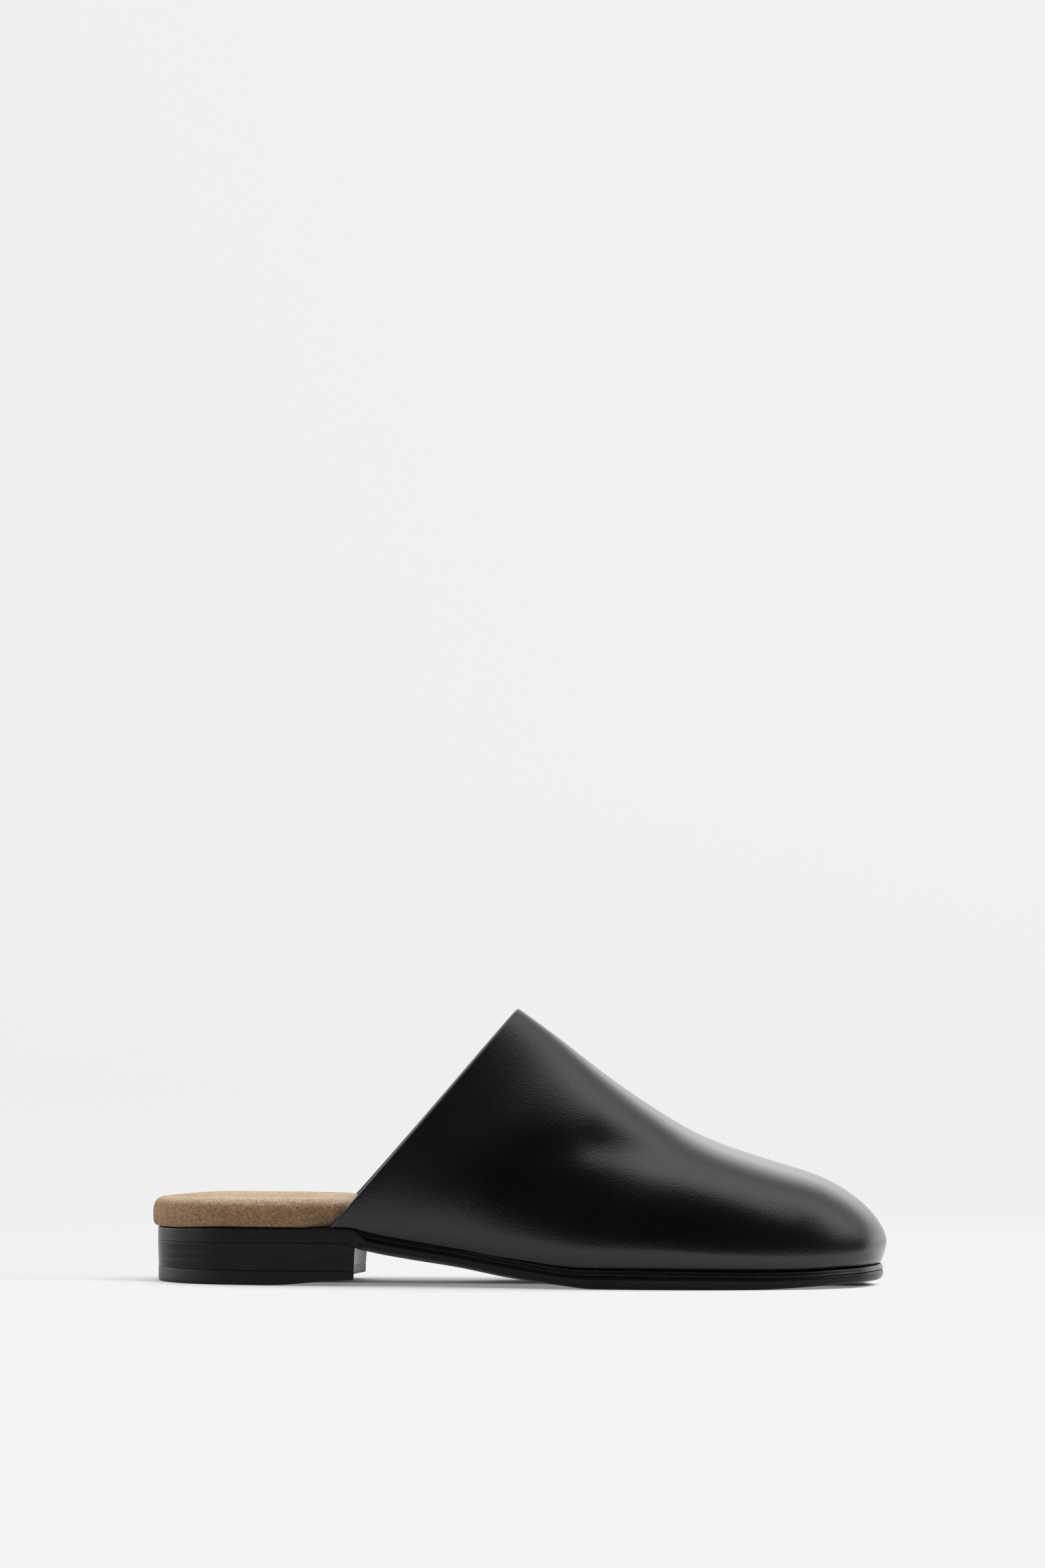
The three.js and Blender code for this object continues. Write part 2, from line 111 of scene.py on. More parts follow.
def read(rows, column, along):
    """A column of a table between its rows, level where two rows are level."""
    if along <= rows[0]["along"]:
        return rows[0][column]
    if along >= rows[-1]["along"]:
        return rows[-1][column]

    def slope(k):
        if k < 0 or k >= len(rows) - 1:
            return 0.0
        return (rows[k + 1][column] - rows[k][column]) / (rows[k + 1]["along"] - rows[k]["along"])

    def tangent(k):
        before, after = slope(k - 1), slope(k)
        return 0.0 if before * after <= 0 else 2 * before * after / (before + after)

    k = max(i for i, row in enumerate(rows) if row["along"] <= along)
    span = rows[k + 1]["along"] - rows[k]["along"]
    f = (along - rows[k]["along"]) / span
    rise = rows[k + 1][column] - rows[k][column]
    lead = f * (1 - f) ** 2 * tangent(k) + f * f * (f - 1) * tangent(k + 1)
    return rows[k][column] + rise * f * f * (3 - 2 * f) + span * lead


plan_x = closed_curve([0.0] + [row["along"] * sole_length for row in outline_rows] + [sole_length]
                      + [row["along"] * sole_length for row in reversed(outline_rows)])
plan_y = closed_curve([heel_middle] + [-row["lateral"] for row in outline_rows] + [toe_middle]
                      + [row["medial"] for row in reversed(outline_rows)])


def edge_point(side, row, inwards):
    """(x, y) in millimetres on the plan's edge, moved inwards. side is -1 lateral, 1 medial."""
    place = row if side < 0 else 2 * outline_end - row
    small = 0.02
    x, y = plan_x(place), plan_y(place)
    dx = plan_x(place + small) - plan_x(place - small)
    dy = plan_y(place + small) - plan_y(place - small)
    length = math.hypot(dx, dy)
    return x - dy / length * inwards, y + dx / length * inwards


def row_at(along):
    """The fractional row of the plan at a share of the length."""
    low, high = 0.0, float(outline_end)
    for _ in range(40):
        middle = (low + high) / 2
        if plan_x(middle) < along * sole_length:
            low = middle
        else:
            high = middle
    return (low + high) / 2


def share(x):
    return min(max(x / sole_length, 0.0), 1.0)


# Heights of the sole in millimetres: under is its underside and thick is sole and welt
height_rows = [
    dict(along=0.000, under=14.5, thick=5.0),
    dict(along=0.100, under=15.1, thick=5.3),
    dict(along=0.255, under=15.1, thick=5.3),
    dict(along=0.288, under=11.9, thick=7.2),
    dict(along=0.343, under=9.3, thick=7.1),
    dict(along=0.414, under=6.7, thick=6.7),
    dict(along=0.480, under=3.6, thick=6.7),
    dict(along=0.551, under=1.2, thick=6.2),
    dict(along=0.600, under=0.0, thick=6.7),
    dict(along=0.815, under=0.0, thick=6.2),
    dict(along=0.898, under=0.9, thick=5.5),
    dict(along=0.945, under=1.7, thick=5.3),
    dict(along=1.000, under=2.0, thick=5.7),
]


def underside(s):
    return read(height_rows, "under", s)


def feather(s):
    """Top of the sole, where the upper and the footbed sit."""
    return underside(s) + read(height_rows, "thick", s)


def slab(along, across, rings):
    """A unit slab: x and y run from -1 to 1, and z counts the rings of its side."""
    mesh = bmesh.new()
    bmesh.ops.create_grid(mesh, x_segments=along, y_segments=across, size=1)
    raised = bmesh.ops.extrude_face_region(mesh, geom=mesh.faces[:])["geom"]
    top = [item for item in raised if isinstance(item, bmesh.types.BMVert)]
    bmesh.ops.translate(mesh, verts=top, vec=(0, 0, rings))
    walls = [edge for edge in mesh.edges if edge.verts[0].co.z != edge.verts[1].co.z]
    bmesh.ops.subdivide_edges(mesh, edges=walls, cuts=rings - 1, use_grid_fill=True)
    for vert in mesh.verts:
        vert.co.z = round(vert.co.z)
    bmesh.ops.recalc_face_normals(mesh, faces=mesh.faces[:])
    return mesh


def round_plan(p, q):
    """(row, width) of the plan for a point of the unit square; width runs from -1 to 1."""
    u = p * math.sqrt(1 - q * q / 2)
    v = q * math.sqrt(1 - p * p / 2)
    chord = math.sqrt(max(1 - u * u, 0.0))
    row = outline_end * (1 - math.acos(min(max(u, -1.0), 1.0)) / math.pi)
    return row, (min(max(v / chord, -1.0), 1.0) if chord > 1e-6 else 0.0)


def across_plan(row, width, inwards):
    """(x, y) between the two edges, each moved inwards by a function of the share."""
    inset = inwards(share(plan_x(row)))
    lateral = edge_point(-1, row, inset)
    medial = edge_point(1, row, inset)
    f = (width + 1) / 2
    return lateral[0] + (medial[0] - lateral[0]) * f, lateral[1] + (medial[1] - lateral[1]) * f


def in_frame(x, y, z):
    """A point of the shoe's own millimetres in the row's frame."""
    return Vector(((plan_start + x) * MM, (plan_middle + y) * MM, z * MM))


def make_piece(name, mesh, levels=1):
    """An object at the origin from a bmesh, smooth, with live subdivision if asked."""
    bmesh.ops.remove_doubles(mesh, verts=mesh.verts[:], dist=1e-7)
    bmesh.ops.recalc_face_normals(mesh, faces=mesh.faces[:])
    data = bpy.data.meshes.new(name)
    mesh.to_mesh(data)
    mesh.free()
    for face in data.polygons:
        face.use_smooth = True
    piece = bpy.data.objects.new(name, data)
    bpy.context.scene.collection.objects.link(piece)
    if levels:
        subdivision = piece.modifiers.new("subdivision", "SUBSURF")
        subdivision.levels = subdivision.render_levels = levels
    return piece


class Wire:
    """An output of a material's node. Sums on wires add Math nodes."""

    def __init__(self, finish, socket):
        self.finish = finish
        self.socket = socket

    def maths(self, operation, *values):
        return self.finish.node("ShaderNodeMath", dict(operation=operation), dict(enumerate(values)))

    def __add__(self, other):
        return self.maths("ADD", self, other)

    def __sub__(self, other):
        return self.maths("SUBTRACT", self, other)

    def __mul__(self, other):
        return self.maths("MULTIPLY", self, other)

    def __rsub__(self, other):
        return self.maths("SUBTRACT", other, self)

    __radd__ = __add__
    __rmul__ = __mul__

    def between(self, low, high):
        """0 below low, 1 above high and smooth in between."""
        return self.finish.node("ShaderNodeMapRange", dict(interpolation_type="SMOOTHSTEP"),
                                {"Value": self, "From Min": low, "From Max": high})


class Finish:
    """A material whose constants are set on its shader and whose patterns come from nodes."""

    def __init__(self, name, **constants):
        self.material = bpy.data.materials.new(name)
        self.material.use_nodes = True
        self.tree = self.material.node_tree
        self.shader = self.tree.nodes["Principled BSDF"]
        for socket, value in constants.items():
            self.shader.inputs[socket.replace("_", " ")].default_value = value
        self.place = self.node("ShaderNodeTexCoord", {}, {}, "Object")

    def node(self, kind, settings, inputs, output=0):
        made = self.tree.nodes.new(kind)
        for key, value in settings.items():
            setattr(made, key, value)
        for key, value in inputs.items():
            if isinstance(value, Wire):
                self.tree.links.new(value.socket, made.inputs[key])
            else:
                made.inputs[key].default_value = value
        return Wire(self, made.outputs[output])

    def feed(self, socket, wire):
        self.tree.links.new(wire.socket, self.shader.inputs[socket])

    def stretched(self, x, y, z, turn=0.0):
        """Object coordinates scaled along each axis, turned about Y first."""
        turned = self.node("ShaderNodeMapping", {}, {"Vector": self.place, "Rotation": (0, turn, 0)})
        return self.node("ShaderNodeMapping", {}, {"Vector": turned, "Scale": (x, y, z)})

    def noise(self, size, detail=3.0, rough=0.5, vector=None):
        """Soft noise with blobs of about that size in metres."""
        return self.node("ShaderNodeTexNoise", {}, {
            "Vector": vector or self.place, "Scale": 1 / size, "Detail": detail,
            "Roughness": rough})

    def mix(self, mask, low, high):
        """A colour between two colours."""
        return self.node("ShaderNodeMix", dict(data_type="RGBA"),
                         {0: mask, 6: low, 7: high}, 2)

    def axis(self, name):
        return self.node("ShaderNodeSeparateXYZ", {}, {0: self.place}, name)

    def relief(self, height, depth):
        """Height from 0 to 1 as a bump of that depth in metres."""
        bump = self.node("ShaderNodeBump", {}, {"Height": height, "Distance": depth})
        self.feed("Normal", bump)


footbed_thick = 10.6
footbed_fore_thick = 5.0
footbed_overhang = 1.7
footbed_side_overhang = 0.6
footbed_dish = 1.2
footbed_back = 16
footbed_clearance = 0.12
footbed_side_gap = 0.5
lumps = [dict(size=21, high=0.176), dict(size=7, high=0.072)]
upper_wall = 2.0
feather_inset = 1.4
# sit is how far the upper stands inside the plan's edge, a share of feather_inset
sit_rows = [
    dict(along=0.240, sit=0.25),
    dict(along=0.345, sit=0.70),
    dict(along=0.430, sit=1.00),
    dict(along=1.000, sit=1.00),
]
# bare is 1 where the footbed shows, thick is 1 where it is full and dish is 1 where it is
# trodden hollow
footbed_rows = [
    dict(along=0.000, bare=1.0, thick=1.00, dish=0.0),
    dict(along=0.060, bare=1.0, thick=1.00, dish=1.0),
    dict(along=0.197, bare=1.0, thick=1.00, dish=1.0),
    dict(along=0.236, bare=0.0, thick=1.00, dish=0.7),
    dict(along=0.330, bare=0.0, thick=0.85, dish=0.2),
    dict(along=0.520, bare=0.0, thick=0.30, dish=0.0),
    dict(along=0.640, bare=0.0, thick=0.00, dish=0.0),
    dict(along=1.000, bare=0.0, thick=0.00, dish=0.0),
]
# The wrapped edge from the board up, in shares of the thickness
footbed_side = [
    dict(inwards=0.22, height=0.00),
    dict(inwards=0.10, height=0.015),
    dict(inwards=0.03, height=0.07),
    dict(inwards=0.00, height=0.18),
    dict(inwards=-0.01, height=0.35),
    dict(inwards=-0.01, height=0.55),
    dict(inwards=0.02, height=0.72),
    dict(inwards=0.09, height=0.86),
    dict(inwards=0.20, height=0.95),
    dict(inwards=0.36, height=0.99),
    dict(inwards=0.55, height=1.00),
]


def upper_sit(s):
    return feather_inset * read(sit_rows, "sit", s)


def footbed_edge(s):
    bare = read(footbed_rows, "bare", s)
    back = min(max(1 - s * sole_length / footbed_back, 0), 1)
    overhang = footbed_side_overhang + (footbed_overhang - footbed_side_overhang) * back
    return (upper_sit(s) + upper_wall + footbed_side_gap) * (1 - bare) - overhang * bare


def footbed_thickness(s):
    extra = footbed_thick - footbed_fore_thick
    return footbed_fore_thick + extra * read(footbed_rows, "thick", s)


def footbed_point(p, q, ring):
    spot = footbed_side[int(ring)]
    row, width = round_plan(p, q)
    inset = lambda s: footbed_edge(s) + spot["inwards"] * footbed_thickness(s)
    x, y = across_plan(row, width, inset)
    s = share(x)
    z = feather(s) + footbed_clearance + spot["height"] * footbed_thickness(s)
    if ring == len(footbed_side) - 1:
        hollow = (1 - abs(width) ** 2.5) * footbed_dish
        z -= hollow * read(footbed_rows, "dish", s)
    # The hand-wrapped suede is never quite even
    if ring > 0:
        lump = sum(noise.noise(Vector((x, y, z)) / each["size"]) * each["high"] for each in lumps)
        z += lump
        y += lump * (1 if y > 0 else -1)
    return in_frame(x, y, z)


pad_along, pad_across = 120, 44
pad = slab(pad_along, pad_across, len(footbed_side) - 1)
for vert in pad.verts:
    vert.co = footbed_point(*vert.co)
footbed = make_piece("suede_footbed", pad)

suede = Finish("tan_suede", Roughness=0.92, Specular_IOR_Level=0.12, Sheen_Weight=0.35,
               Sheen_Roughness=0.35, Sheen_Tint=(1.0, 0.84, 0.66, 1), Emission_Strength=1.0)
nap_patch = suede.noise(0.006, 5, 0.65).between(0.30, 0.72)
nap_streak = suede.noise(1.0, 3, 0.65, suede.stretched(520, 1100, 1100)).between(0.3, 0.7)
fibre = suede.noise(0.00050, 4, 0.75).between(0.38, 0.62)
clump = suede.noise(0.0015, 3, 0.7).between(0.38, 0.62)
nap = nap_patch * 0.10 + nap_streak * 0.12 + fibre * 0.58 + clump * 0.20
suede_side = suede.mix(nap, (0.150, 0.066, 0.024, 1), (0.90, 0.520, 0.240, 1))
# Painted shade: the side's colour is darker towards the bottom, where shade falls.
above_painted_shade = suede.axis("Z").between(0.0195, 0.0275)
suede_side = suede.mix(above_painted_shade * 0.25 + 0.75, (0.16, 0.080, 0.036, 1), suede_side)
# Painted sheen: the top of the pad is painted pale, where light catches the nap along the top.
painted_top_sheen = suede.axis("Z").between(0.0272, 0.0312) * (0.35 + nap * 0.65)
suede.feed("Base Color", suede.mix(painted_top_sheen, suede_side, (0.98, 0.80, 0.58, 1)))
# Painted glow: emission along the top stands in for light caught in the tips of the nap
painted_top_glow = suede.axis("Z").between(0.0272, 0.0326) * (0.25 + nap * 0.75)
suede.feed("Emission Color", suede.mix(painted_top_glow, (0, 0, 0, 1), (0.66, 0.52, 0.38, 1)))
suede.relief(fibre + clump * 0.8 + nap_streak * 0.3, 0.0009)
footbed.data.materials.append(suede.material)
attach(footbed, "root")
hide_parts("footbed")


# Upper. One piece of smooth black calf pulled over the last, with no seam on its outside.
# Its slanting collar is skived and folded in, and its lower edge is lasted under.

# Sections of the last, fanned from the collar to the tip of the toe. foot is the share of
# the length of a section's two ends, ridge_x, ridge_y and ridge_z are its top and swell how
# far its sides stand out, in millimetres, and square is the exponent of its curve.
section_rows = [
    dict(foot=0.241, ridge_x=128.6, ridge_y=0.0, ridge_z=97.7, lateral=3.2, medial=5.1,
         crest=0.75, square=1.74),
    dict(foot=0.325, ridge_x=143.7, ridge_y=0.8, ridge_z=86.7, lateral=5.2, medial=6.2,
         crest=0.75, square=1.92),
    dict(foot=0.422, ridge_x=160.3, ridge_y=1.8, ridge_z=74.0, lateral=6.0, medial=6.6,
         crest=0.75, square=2.60),
    dict(foot=0.530, ridge_x=177.3, ridge_y=3.0, ridge_z=62.4, lateral=5.2, medial=6.0,
         crest=0.66, square=2.80),
    dict(foot=0.634, ridge_x=193.1, ridge_y=4.0, ridge_z=53.3, lateral=4.2, medial=5.4,
         crest=0.56, square=3.00),
    dict(foot=0.730, ridge_x=209.0, ridge_y=4.8, ridge_z=47.2, lateral=3.5, medial=5.1,
         crest=0.42, square=3.02),
    dict(foot=0.814, ridge_x=225.2, ridge_y=5.5, ridge_z=42.2, lateral=3.4, medial=4.6,
         crest=0.40, square=2.95),
    dict(foot=0.883, ridge_x=237.7, ridge_y=5.8, ridge_z=38.0, lateral=3.1, medial=3.9,
         crest=0.42, square=3.00),
    dict(foot=0.934, ridge_x=248.1, ridge_y=6.0, ridge_z=32.1, lateral=2.7, medial=3.2,
         crest=0.45, square=3.00),
    dict(foot=0.968, ridge_x=255.4, ridge_y=6.0, ridge_z=25.6, lateral=2.0, medial=2.4,
         crest=0.55, square=2.85),
    dict(foot=0.988, ridge_x=259.5, ridge_y=6.0, ridge_z=19.3, lateral=1.2, medial=1.5,
         crest=0.55, square=2.50),
    dict(foot=0.997, ridge_x=260.3, ridge_y=6.0, ridge_z=13.9, lateral=0.5, medial=0.6,
         crest=0.50, square=2.25),
]
upper_clearance = 0.15
toe_x, toe_y = edge_point(-1, outline_end, feather_inset)
section_end = len(section_rows)
closing_row = dict(section_rows[-1], ridge_x=toe_x, ridge_y=toe_y, lateral=0.0, medial=0.0,
                   ridge_z=feather(1) + upper_clearance)
sections = {column: curve_through([row[column] for row in section_rows + [closing_row]])
            for column in ("ridge_x", "ridge_y", "ridge_z", "lateral", "medial", "crest",
                           "square")}
section_foot = curve_through([row_at(row["foot"]) for row in section_rows] + [outline_end])


def ridge_point(place, depth):
    """Top of a section, moved into the shoe square to the ridge."""
    here = Vector([sections[column](place) for column in ("ridge_x", "ridge_y", "ridge_z")])
    ahead, behind = min(place + 0.02, section_end), max(place - 0.02, 0)
    run_x = sections["ridge_x"](ahead) - sections["ridge_x"](behind)
    run_z = sections["ridge_z"](ahead) - sections["ridge_z"](behind)
    length = math.hypot(run_x, run_z)
    return here + Vector((run_z, 0, -run_x)) * (depth / length)


def skin_point(place, angle, depth):
    """A point of the upper's skin in the shoe's millimetres. angle runs over the girth from
    0 at the lateral edge to pi at the medial one."""
    foot = section_foot(place)
    ends = []
    for side in (-1, 1):
        x, y = edge_point(side, foot, upper_sit(share(plan_x(foot))) + depth)
        ends.append(Vector((x, y, feather(share(x)) + upper_clearance)))
    if place >= section_end:
        return ends[0]
    side = -1 if angle < math.pi / 2 else 1
    end = ends[0] if side < 0 else ends[1]
    middle = (ends[0] + ends[1]) / 2
    power = 2 / sections["square"](place)
    reach = abs(math.cos(angle)) ** power
    climb = abs(math.sin(angle)) ** power
    base = edge_point(side, foot, 0)
    out = edge_point(side, foot, -1)
    swell = sections["lateral" if side < 0 else "medial"](place)
    swell *= math.sin(math.pi * min(climb, 1) ** sections["crest"](place))
    bulge = Vector((out[0] - base[0], out[1] - base[1], 0)) * swell
    return middle + (end - middle) * reach + (ridge_point(place, depth) - middle) * climb + bulge


# Soft forms of worn-in leather on the lateral side, in the frame's millimetres: a line from
# (x, z) to (x_end, z_end), its half width, and its depth, which is negative for a ridge.
lateral_forms = [
    dict(x=4, z=47, x_end=23, z_end=50.5, wide=6.0, deep=0.3),
    dict(x=28, z=51, x_end=47, z_end=48, wide=7.0, deep=0.9),
    dict(x=56, z=43, x_end=96, z_end=29, wide=5.0, deep=0.25),
]


def form_depth(x, z):
    """How far the forms push the leather in at a point of the side view."""
    total = 0.0
    for form in lateral_forms:
        run = Vector((form["x_end"] - form["x"], form["z_end"] - form["z"]))
        away = Vector((x - form["x"], z - form["z"]))
        f = min(max(away.dot(run) / run.length_squared, 0), 1)
        distance = (away - run * f).length / form["wide"]
        total += form["deep"] * math.exp(-distance**2)
    return total


# Where the forms end over the ridge, as q below, and over how much of it they fade
forms_end = 0.12
forms_fade = 0.3
girth_columns = 84
length_columns = 88
rim_rings = 4
crowding = 1.3


def upper_point(p, q, ring):
    turn = ring / rim_rings
    depth = upper_wall * (1 - math.cos(math.pi * turn)) / 2
    angle = (q + 1) / 2 * math.pi
    place = section_end * ((p + 1) / 2) ** crowding
    point = skin_point(place, angle, depth)
    if p <= -1 and 0 < ring < rim_rings:
        back = point - skin_point(place + 0.05, angle, depth)
        point += back.normalized() * (upper_wall / 2 * math.sin(math.pi * turn))
    return in_frame(*point)


leather = bmesh.new()
bmesh.ops.create_grid(leather, x_segments=length_columns, y_segments=girth_columns, size=1)
inner = bmesh.ops.extrude_face_region(leather, geom=leather.faces[:])["geom"]
bmesh.ops.translate(leather, verts=[item for item in inner if isinstance(item, bmesh.types.BMVert)],
                    vec=(0, 0, rim_rings))
rims = [edge for edge in leather.edges if edge.verts[0].co.z != edge.verts[1].co.z]
bmesh.ops.subdivide_edges(leather, edges=rims, cuts=rim_rings - 1, use_grid_fill=True)
for vert in leather.verts:
    vert.co.z = round(vert.co.z)
feather_verts = [vert for vert in leather.verts if abs(vert.co.y) > 0.999]
skin_side = {vert: (vert.co.y, vert.co.z) for vert in leather.verts}
for vert in leather.verts:
    vert.co = upper_point(*vert.co)
bmesh.ops.recalc_face_normals(leather, faces=leather.faces[:])
leather.normal_update()
pushes = []
for vert, (q, ring) in skin_side.items():
    if q < forms_end:
        fade = min(max((forms_end - q) / forms_fade, 0), 1)
        depth = form_depth(vert.co.x / MM, vert.co.z / MM) * fade * MM
        inwards = vert.normal if ring > rim_rings / 2 else -vert.normal
        pushes.append((vert, inwards * depth))
for vert, push in pushes:
    vert.co += push
creases = leather.edges.layers.float.new("crease_edge")
lower = set(feather_verts)
for edge in leather.edges:
    if edge.verts[0] in lower and edge.verts[1] in lower:
        edge[creases] = 0.7
upper = make_piece("calf_upper", leather)

calf = Finish("black_calf", Specular_IOR_Level=0.38, Coat_Weight=0.12, Coat_Roughness=0.22)
pebble = calf.node("ShaderNodeTexVoronoi", dict(feature="SMOOTH_F1"),
                   {"Vector": calf.place, "Scale": 1900.0, "Smoothness": 0.6})
pores = calf.noise(0.0008, 4, 0.6)
slow = calf.noise(0.03, 3, 0.55)
collar_run = calf.axis("X") * 0.763 - calf.axis("Z") * 0.646
near_collar = 1 - collar_run.between(-0.055, -0.026)
wrinkle = calf.noise(1.0, 4, 0.6, calf.stretched(620, 620, 1150, 0.9))
grain = pebble * 0.4 + pores * 0.4 + wrinkle * (0.12 + near_collar * 0.45)
calf.feed("Base Color", calf.mix(slow, (0.0013, 0.0013, 0.0014, 1), (0.0024, 0.0023, 0.0023, 1)))
calf.feed("Roughness", 0.215 + slow * 0.04 + pores * 0.04 + near_collar * 0.10)
calf.relief(grain, 0.00010)
upper.data.materials.append(calf.material)
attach(upper, "root")
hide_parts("upper")


# Outsole. Black leather cut to the outline, running back over the heel as its seat. Its
# edge is rounded, dyed and waxed, and it is pared thin and drawn in at the waist.
heel_length = 70.9
breast_step = 4.0
welt_thick = 1.8
sole_edge_radius = 1.0
sole_joint = 0.1
# draw is how far the edge stands inside the plan and bevel how far the underside is pared
trim_rows = [
    dict(along=0.271, draw=1.75, bevel=8.6),
    dict(along=0.345, draw=1.60, bevel=7.9),
    dict(along=0.430, draw=0.90, bevel=5.0),
    dict(along=0.530, draw=0.20, bevel=2.2),
    dict(along=0.620, draw=0.00, bevel=0.9),
    dict(along=1.000, draw=0.00, bevel=0.9),
]
# The sole's side from the tread up: in by shares of the bevel and of the edge's radius, by
# its upper half's lean and by a flat, and up by a share of the way to the welt. Only the
# flat reaches back over the heel, where the seat is trimmed square.
sole_side = [
    dict(bevel=1.00, round=1.00, lean=0.00, flat=0.90, height=0.00),
    dict(bevel=0.97, round=0.90, lean=0.00, flat=0.01, height=0.00),
    dict(bevel=0.85, round=0.66, lean=0.00, flat=0.00, height=0.03),
    dict(bevel=0.58, round=0.42, lean=0.00, flat=0.00, height=0.10),
    dict(bevel=0.34, round=0.27, lean=0.00, flat=0.00, height=0.20),
    dict(bevel=0.17, round=0.17, lean=0.00, flat=0.00, height=0.33),
    dict(bevel=0.06, round=0.08, lean=0.00, flat=0.00, height=0.48),
    dict(bevel=0.00, round=0.02, lean=0.00, flat=0.00, height=0.62),
    dict(bevel=0.00, round=0.00, lean=0.00, flat=0.00, height=0.73),
    dict(bevel=0.00, round=0.00, lean=0.10, flat=0.00, height=0.82),
    dict(bevel=0.00, round=0.00, lean=0.20, flat=0.00, height=0.91),
    dict(bevel=0.00, round=0.00, lean=0.30, flat=0.05, height=0.99),
    dict(bevel=0.00, round=0.00, lean=0.34, flat=0.50, height=1.00),
]


def forepart(s):
    return min(max((s * sole_length - heel_length) / breast_step, 0), 1)


def edge_draw(s):
    return forepart(s) * read(trim_rows, "draw", s)


def sole_point(p, q, ring):
    spot = sole_side[int(ring)]
    row, width = round_plan(p, q)

    def inset(s):
        pared = read(trim_rows, "bevel", s) * spot["bevel"]
        shaped = pared + sole_edge_radius * spot["round"] + spot["lean"]
        return edge_draw(s) + forepart(s) * shaped + spot["flat"]
    x, y = across_plan(row, width, inset)
    s = share(x)
    top = feather(s) - forepart(s) * welt_thick - sole_joint
    return in_frame(x, y, underside(s) + spot["height"] * (top - underside(s)))


tread_along, tread_across = 200, 40
tread = slab(tread_along, tread_across, len(sole_side) - 1)
for vert in tread.verts:
    vert.co = sole_point(*vert.co)
outsole = make_piece("leather_outsole", tread)

dyed = Finish("dyed_sole_edge", Specular_IOR_Level=0.13)
strata = dyed.noise(1.0, 4, 0.6, dyed.stretched(55, 55, 1500))
rub = dyed.noise(0.006, 4, 0.6)
edge_scuff = dyed.noise(1.0, 4, 0.8, dyed.stretched(700, 700, 2200)).between(0.3, 0.7)
dyed.feed("Base Color", dyed.mix(rub * 0.4 + edge_scuff * 0.6, (0.0008, 0.0008, 0.0008, 1),
                                 (0.0098, 0.0094, 0.0092, 1)))
dyed.feed("Roughness", 0.17 + strata * 0.08 + rub * 0.08)
dyed.relief(strata * 0.8 + dyed.noise(0.0007, 3, 0.6) * 0.3, 0.00006)
outsole.data.materials.append(dyed.material)
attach(outsole, "root")
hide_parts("outsole")


# Welt. A thin strip of leather between the upper and the outsole, from one corner of the
# heel's breast round the toe to the other, its edge trimmed with the sole's.
welt_wide = 8.4
welt_reveal = 0.15
# The strip's section: in, in millimetres, and up by a share of its thickness. Its edge
# leans back from a lip at its foot.
welt_section = [
    dict(inwards=0.35, height=0.00),
    dict(inwards=0.06, height=0.03),
    dict(inwards=0.00, height=0.10),
    dict(inwards=0.03, height=0.17),
    dict(inwards=0.13, height=0.24),
    dict(inwards=0.18, height=0.34),
    dict(inwards=0.27, height=0.55),
    dict(inwards=0.36, height=0.76),
    dict(inwards=0.46, height=0.93),
    dict(inwards=0.62, height=0.99),
    dict(inwards=1.10, height=1.00),
    dict(inwards=welt_wide, height=1.00),
    dict(inwards=welt_wide, height=0.00),
    dict(inwards=3.00, height=0.00),
]
welt_steps = 260
welt_start = row_at((heel_length + 0.1 * breast_step) / sole_length)


def welt_point(turn, corner):
    """turn runs from 0 at the lateral end to 1 at the medial end."""
    spot = welt_section[corner]
    span = outline_end - welt_start
    row = welt_start + span * 2 * turn if turn <= 0.5 else outline_end - span * (2 * turn - 1)
    side = -1 if turn <= 0.5 else 1
    s = share(plan_x(row))
    x, y = edge_point(side, row, edge_draw(s) + welt_reveal + spot["inwards"])
    return in_frame(x, y, feather(share(x)) - welt_thick * forepart(share(x)) * (1 - spot["height"]))


strip = bmesh.new()
first = [strip.verts.new(welt_point(0, corner)) for corner in range(len(welt_section))]
loop = [strip.edges.new((first[i - 1], first[i])) for i in range(len(first))]
strip.faces.new(first)
for step in range(1, welt_steps + 1):
    made = bmesh.ops.extrude_edge_only(strip, edges=loop)["geom"]
    fresh = [item for item in made if isinstance(item, bmesh.types.BMVert)]
    loop = [item for item in made if isinstance(item, bmesh.types.BMEdge)]
    spots = [min(range(len(welt_section)), key=lambda corner: (
        welt_point((step - 1) / welt_steps, corner) - vert.co).length) for vert in fresh]
    for vert, corner in zip(fresh, spots):
        vert.co = welt_point(step / welt_steps, corner)
bmesh.ops.contextual_create(strip, geom=loop)
welt = make_piece("leather_welt", strip, levels=0)

welt_edge = Finish("dyed_welt_edge", Specular_IOR_Level=0.3, Roughness=0.22)
welt_rub = welt_edge.noise(0.003, 4, 0.6)
welt_edge.feed("Base Color", welt_edge.mix(welt_rub, (0.004, 0.004, 0.004, 1),
                                           (0.010, 0.0095, 0.009, 1)))
welt_edge.relief(welt_edge.noise(0.0006, 3, 0.6), 0.00005)
welt.data.materials.append(welt_edge.material)
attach(welt, "root")
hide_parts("welt")


# Heel. A low block of glued leather lifts under the seat, sanded flush and dyed black, with
# a hollow breast that stands further forward on the medial side.
top_piece_thick = 5.3
breast_hollow = 4.0
breast_skew = 5.2
heel_half = 28.75
joint = 0.03
lift_count = 3
heel_taper = 0.3
lift_groove = 0.015
heel_along, heel_across = 90, 44
tread_rows = [
    dict(along=0.000, rise=0.0),
    dict(along=0.150, rise=0.0),
    dict(along=0.271, rise=2.1),
]


def tread_rise(s):
    return read(tread_rows, "rise", s)


